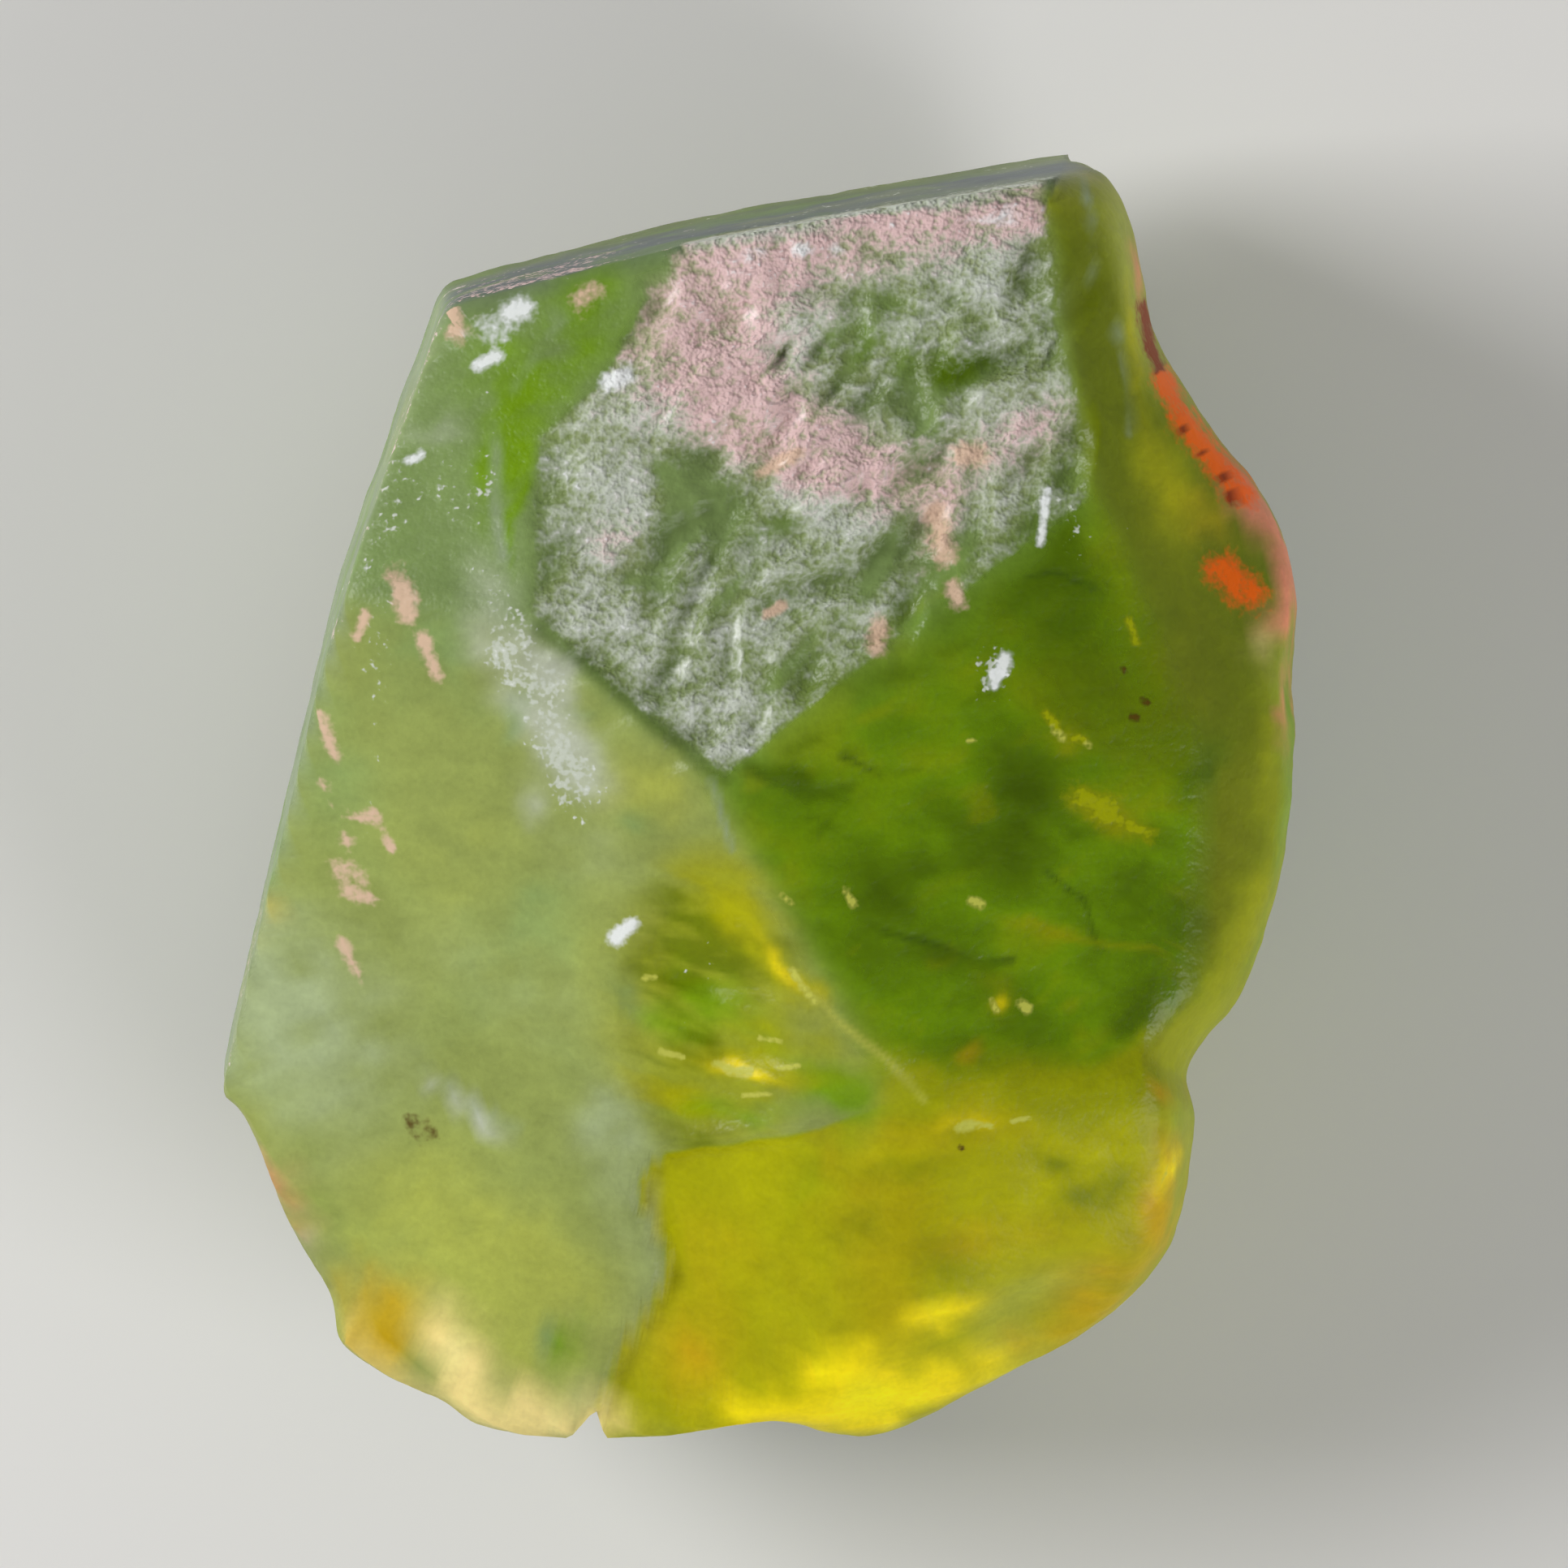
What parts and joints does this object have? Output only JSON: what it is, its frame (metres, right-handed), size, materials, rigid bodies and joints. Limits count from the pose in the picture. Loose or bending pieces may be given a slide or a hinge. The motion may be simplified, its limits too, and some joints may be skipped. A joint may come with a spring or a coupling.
{
  "type": "peridot crystal",
  "caption": "Rough see-through yellow-green gem crystal with a flat slanted top, an etched front face and a broken, rounded lower end, lying on its flat back face.",
  "frame": {"origin": "middle of the bottom of the stone's box, on its flat resting face", "axes": "+Y toward the flat terminated upper end, +X toward the rounded right side, +Z away from the resting face, out of the front face"},
  "size_m": [0.0202, 0.024, 0.0124],
  "materials": {
    "peridot": "clear yellow-green crystal with frosted etch marks, hazy left face and rust-coloured stains"
  },
  "bodies": {
    "root": {"crystal": "peridot"}
  },
  "joints": []
}
